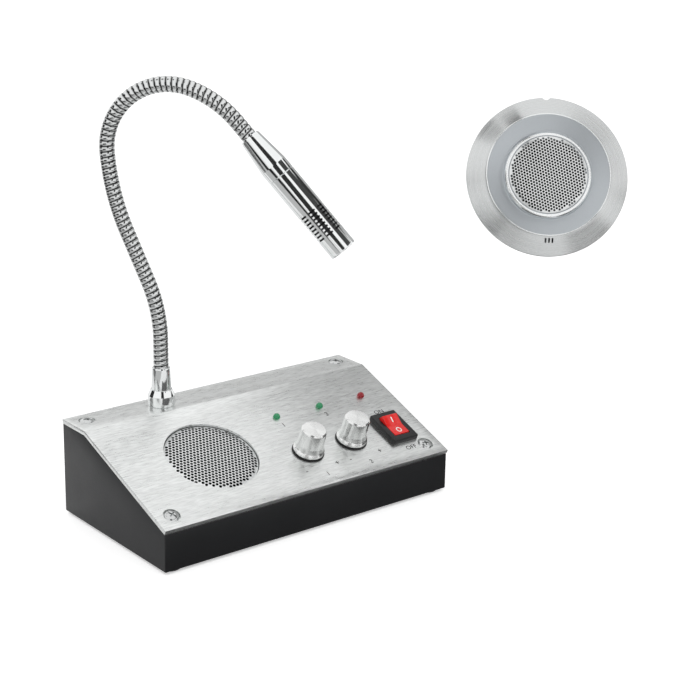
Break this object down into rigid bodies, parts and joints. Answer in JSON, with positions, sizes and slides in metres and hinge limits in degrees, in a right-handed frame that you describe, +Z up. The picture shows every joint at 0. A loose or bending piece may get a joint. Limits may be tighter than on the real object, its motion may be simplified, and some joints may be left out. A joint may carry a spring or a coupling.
{
  "type": "teller window intercom",
  "caption": "Wedge-shaped counter intercom with a gooseneck microphone, grille, knobs and rocker switch, and a separate round window unit",
  "frame": {"origin": "centre of the desk unit's underside, 1.5 mm above the soles of its feet", "axes": "+Z up, -Y towards the operator, +X to the operator's right along the width"},
  "size_m": [0.2997, 0.1367, 0.2304],
  "materials": {
    "case_plastic": "satin black moulded case",
    "foot_rubber": "matte",
    "panel_aluminium": "brushed along the width, clear anodised",
    "bright_screw": "bright plated",
    "zinc_steel": "zinc plated",
    "grille_steel": "perforated, light silver",
    "cloth": "thin black dust cloth",
    "basket_steel": "dark plated basket",
    "cone_paper": "pressed paper, stood in for by matte plastic",
    "magnet": "ferrite, stood in for by cast iron",
    "lamp_green": "clear green resin",
    "lamp_red": "clear red resin",
    "board": "glass-filled board with green lacquer",
    "pot_metal": "plated housing",
    "turned_aluminium": "turned",
    "black_plastic": "black moulding",
    "rocker_red": "glossy red",
    "contact_brass": "tinned brass",
    "neck_chrome": "bright plated ribbed tube",
    "mic_chrome": "bright plated",
    "capsule_metal": "plain",
    "soft_rubber": "matte",
    "chip": "moulded package",
    "sink_aluminium": "extruded",
    "capacitor": "sleeved can",
    "header": "ivory moulding",
    "flange_aluminium": "turned, fine circular brushing",
    "ring_aluminium": "satin blue-grey"
  },
  "bodies": {
    "desk_unit": {"housing": "case_plastic", "feet": "foot_rubber", "top_panel": "panel_aluminium", "panel_screws": "bright_screw", "speaker_grille": "grille_steel", "grille_cloth": "cloth", "speaker_frame": "basket_steel", "speaker_cone": "cone_paper", "speaker_magnet": "magnet", "speaker_clips": "zinc_steel", "speaker_nuts": "zinc_steel", "lamp_inside": "lamp_green", "lamp_outside": "lamp_green", "lamp_power": "lamp_red", "control_board": "board", "pot_inside": "pot_metal", "pot_outside": "pot_metal", "pot_nuts": "zinc_steel", "knob_rings": "black_plastic", "switch_housing": "black_plastic", "switch_terminals": "contact_brass", "neck_collar": "mic_chrome", "neck_washer": "zinc_steel", "neck_nut": "zinc_steel", "neck_sleeve": "mic_chrome", "main_board": "board", "board_screws": "bright_screw", "amplifier_chip": "chip", "heat_sink": "sink_aluminium", "capacitors": "capacitor", "wire_headers": "header", "outside_unit_socket": "black_plastic", "record_socket": "black_plastic", "power_socket": "black_plastic", "socket_nuts": "zinc_steel"},
    "neck_lower": {"neck_lower_tube": "neck_chrome"},
    "neck_middle": {"neck_middle_tube": "neck_chrome"},
    "neck_upper": {"neck_upper_tube": "neck_chrome"},
    "microphone": {"neck_end_tube": "neck_chrome", "mic_adapter": "mic_chrome", "mic_barrel": "mic_chrome", "mic_capsule": "capsule_metal", "mic_boot": "soft_rubber", "mic_mesh": "zinc_steel"},
    "inside_volume": {"knob_inside": "turned_aluminium", "pot_shaft_inside": "turned_aluminium"},
    "outside_volume": {"knob_outside": "turned_aluminium", "pot_shaft_outside": "turned_aluminium"},
    "power_rocker": {"rocker": "rocker_red"},
    "window_unit": {"outside_flange": "flange_aluminium", "outside_cover": "ring_aluminium", "outside_grille": "grille_steel", "outside_cloth": "cloth", "outside_speaker": "basket_steel", "outside_magnet": "magnet", "outside_mic": "capsule_metal", "outside_back_shell": "case_plastic", "outside_gasket": "soft_rubber", "outside_screws": "bright_screw", "outside_socket": "black_plastic"}
  },
  "joints": [
    {"name": "neck_turn", "type": "hinge", "parent": "desk_unit", "child": "neck_lower", "pos_m": [-0.038, 0.0375, 0.052], "axis": [0, 0, 1], "range_deg": [-90, 90]},
    {"name": "lower_bend", "type": "hinge", "parent": "neck_lower", "child": "neck_middle", "pos_m": [-0.03905, 0.0388, 0.10464], "axis": [0.7771, 0.6293, 0], "range_deg": [-20, 20]},
    {"name": "middle_bend", "type": "hinge", "parent": "neck_middle", "child": "neck_upper", "pos_m": [-0.05388, 0.05711, 0.17097], "axis": [0.7771, 0.6293, 0], "range_deg": [-20, 20]},
    {"name": "upper_bend", "type": "hinge", "parent": "neck_upper", "child": "microphone", "pos_m": [-0.03305, 0.03139, 0.22521], "axis": [0.7771, 0.6293, 0], "range_deg": [-30, 20]},
    {"name": "inside_volume_turn", "type": "hinge", "parent": "desk_unit", "child": "inside_volume", "pos_m": [0.014, -0.02378, 0.03006], "axis": [0, -0.3606, 0.9327], "range_deg": [-150, 150]},
    {"name": "outside_volume_turn", "type": "hinge", "parent": "desk_unit", "child": "outside_volume", "pos_m": [0.0435, -0.02378, 0.03006], "axis": [0, -0.3606, 0.9327], "range_deg": [-150, 150]},
    {"name": "power_rocker_tilt", "type": "hinge", "parent": "desk_unit", "child": "power_rocker", "pos_m": [0.073, -0.02553, 0.03292], "axis": [1, 0, 0], "range_deg": [-24, 0]},
    {"name": "window_unit_apart", "type": "slide", "parent": "desk_unit", "child": "window_unit", "axis": [-0.5432, -0.7208, 0.4305], "range_m": [0, 0.03]}
  ]
}
